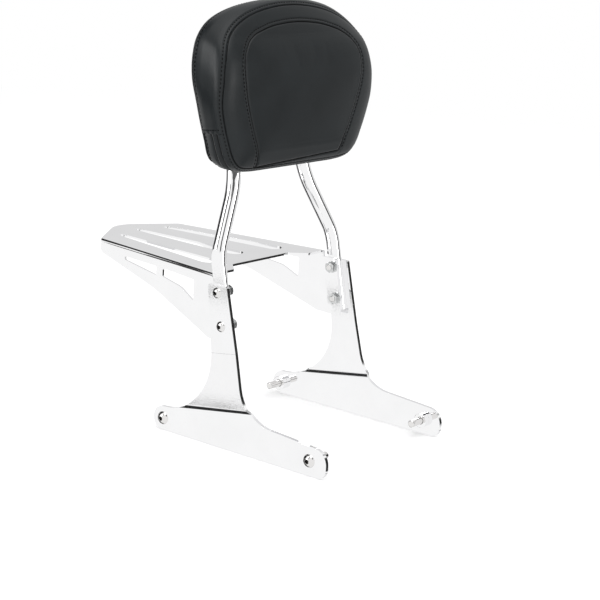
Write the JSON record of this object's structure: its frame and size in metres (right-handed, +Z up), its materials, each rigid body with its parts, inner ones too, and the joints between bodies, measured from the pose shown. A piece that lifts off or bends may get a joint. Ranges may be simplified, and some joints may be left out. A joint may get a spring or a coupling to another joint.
{
  "type": "motorcycle sissy bar",
  "caption": "Passenger backrest for a motorcycle: bent round bar with a padded cushion, screwed to shaped side plates, with a folded luggage rack behind it.",
  "frame": {"origin": "middle of the part in X and Y, at the height of the side plates' foot edges", "axes": "+X across the motorcycle to the rider's left, +Y to the motorcycle's rear, +Z up"},
  "size_m": [0.3074, 0.4764, 0.565],
  "materials": {
    "chrome": "polished plating",
    "zinc": "bright zinc plating",
    "vinyl": "smooth black vinyl with a soft sheen",
    "plywood": "bare plywood, sealed inside the pad"
  },
  "bodies": {
    "root": {"upright_bar": "chrome", "side_plate_left": "chrome", "side_plate_right": "chrome", "luggage_rack": "chrome", "plate_screw_upper_left": "chrome", "plate_screw_lower_left": "chrome", "plate_screw_upper_right": "chrome", "plate_screw_lower_right": "chrome", "plate_washer_upper_left": "zinc", "plate_washer_lower_left": "zinc", "plate_washer_upper_right": "zinc", "plate_washer_lower_right": "zinc", "plate_nut_upper_left": "zinc", "plate_nut_lower_left": "zinc", "plate_nut_upper_right": "zinc", "plate_nut_lower_right": "zinc", "strut_screw_front_left": "chrome", "strut_screw_rear_left": "chrome", "strut_screw_front_right": "chrome", "strut_screw_rear_right": "chrome", "strut_spacer_front_left": "chrome", "strut_spacer_rear_left": "chrome", "strut_spacer_front_right": "chrome", "strut_spacer_rear_right": "chrome", "pad_board": "plywood", "pad_cushion": "vinyl"}
  },
  "joints": []
}
